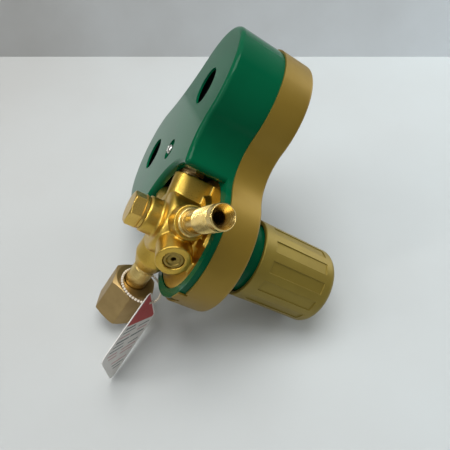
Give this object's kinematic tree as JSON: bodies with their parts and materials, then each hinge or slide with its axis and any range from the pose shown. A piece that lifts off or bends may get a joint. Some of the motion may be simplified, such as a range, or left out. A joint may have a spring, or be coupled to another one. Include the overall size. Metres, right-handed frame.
{
  "type": "gas pressure regulator",
  "caption": "Single-stage gas pressure regulator with a forged brass body, three-lobed cover over two gauges, grip knob, inlet union nut and threaded outlet.",
  "frame": {"origin": "middle of the inlet nipple's shoulder, where the cylinder valve holds the regulator", "axes": "+Y from the adjusting knob to the rear plug along the valve axis, +Z from the knob axis up to the gauges, +X to the right seen from the front"},
  "size_m": [0.1701, 0.1403, 0.202],
  "materials": {
    "brass": "satin",
    "gold_cover": "satin",
    "gold_knob": "satin",
    "green_cover": "gloss",
    "steel": "satin",
    "rubber": "matte",
    "dark_trim": "matte",
    "lens": "gloss",
    "dial": "matte",
    "pointer": "matte",
    "card": "matte",
    "beads": "satin"
  },
  "bodies": {
    "regulator": {"body": "brass", "bonnet": "green_cover", "flange_screws": "steel", "front_cover": "gold_cover", "back_cover": "green_cover", "cover_screw": "steel", "diaphragm": "rubber", "range_spring": "steel", "valve_seat": "brass", "poppet_spring": "steel", "rear_plug": "brass", "plug_gasket": "rubber", "inlet_nipple": "brass", "inlet_filter": "brass", "inlet_washer": "rubber", "outlet_fitting": "brass", "relief_cap": "brass", "relief_spring": "steel", "outlet_gauge_case": "steel", "outlet_gauge_lens": "lens", "outlet_gauge_bezel": "dark_trim", "outlet_gauge_dial": "dial", "outlet_gauge_movement": "brass", "outlet_gauge_socket": "brass", "outlet_gauge_tube": "brass", "inlet_gauge_case": "steel", "inlet_gauge_lens": "lens", "inlet_gauge_bezel": "dark_trim", "inlet_gauge_dial": "dial", "inlet_gauge_movement": "brass", "inlet_gauge_socket": "brass", "inlet_gauge_tube": "brass", "hang_tag": "card", "tag_chain": "beads"},
    "spring_button": {"spring_button": "steel", "thrust_ball": "steel"},
    "knob": {"knob": "gold_knob", "knob_cap": "gold_knob", "spindle": "steel"},
    "diaphragm_plate": {"diaphragm_plate": "brass"},
    "valve_poppet": {"valve_poppet": "brass"},
    "relief_poppet": {"relief_poppet": "brass"},
    "inlet_nut": {"inlet_nut": "brass"},
    "outlet_pointer": {"outlet_gauge_pointer": "pointer"},
    "inlet_pointer": {"inlet_gauge_pointer": "pointer"}
  },
  "joints": [
    {"name": "button_travel", "type": "slide", "parent": "regulator", "child": "spring_button", "axis": [0, 1, 0], "range_m": [0, 0.0081], "deforming": ["range_spring"]},
    {"name": "knob_turn", "type": "hinge", "parent": "spring_button", "child": "knob", "pos_m": [-0.06162, -0.033, 0.02365], "axis": [0, 1, 0], "range_deg": [0, 1440]},
    {"name": "diaphragm_lift", "type": "slide", "parent": "regulator", "child": "diaphragm_plate", "axis": [0, 1, 0], "range_m": [0, 0.0008], "deforming": ["diaphragm"]},
    {"name": "poppet_lift", "type": "slide", "parent": "regulator", "child": "valve_poppet", "axis": [0, 1, 0], "range_m": [0, 0.0009], "deforming": ["poppet_spring"]},
    {"name": "relief_lift", "type": "slide", "parent": "regulator", "child": "relief_poppet", "axis": [-0.4019, 0, -0.9157], "range_m": [0, 0.0012], "stiffness_N_per_m": 500, "deforming": ["relief_spring"]},
    {"name": "inlet_nut_spin", "type": "hinge", "parent": "regulator", "child": "inlet_nut", "pos_m": [0, 0, 0], "axis": [0.9336, 0, -0.3584], "continuous": true},
    {"name": "outlet_pointer_turn", "type": "hinge", "parent": "regulator", "child": "outlet_pointer", "pos_m": [-0.10302, -0.033, 0.10215], "axis": [0, 1, 0], "range_deg": [0, 270]},
    {"name": "inlet_pointer_turn", "type": "hinge", "parent": "regulator", "child": "inlet_pointer", "pos_m": [-0.02022, -0.033, 0.10215], "axis": [0, 1, 0], "range_deg": [0, 270]}
  ],
  "couplings": [
    {"joint": "button_travel", "follows": "knob_turn", "m_per_rad": 0.00031831},
    {"joint": "poppet_lift", "follows": "diaphragm_lift", "ratio": 1}
  ]
}
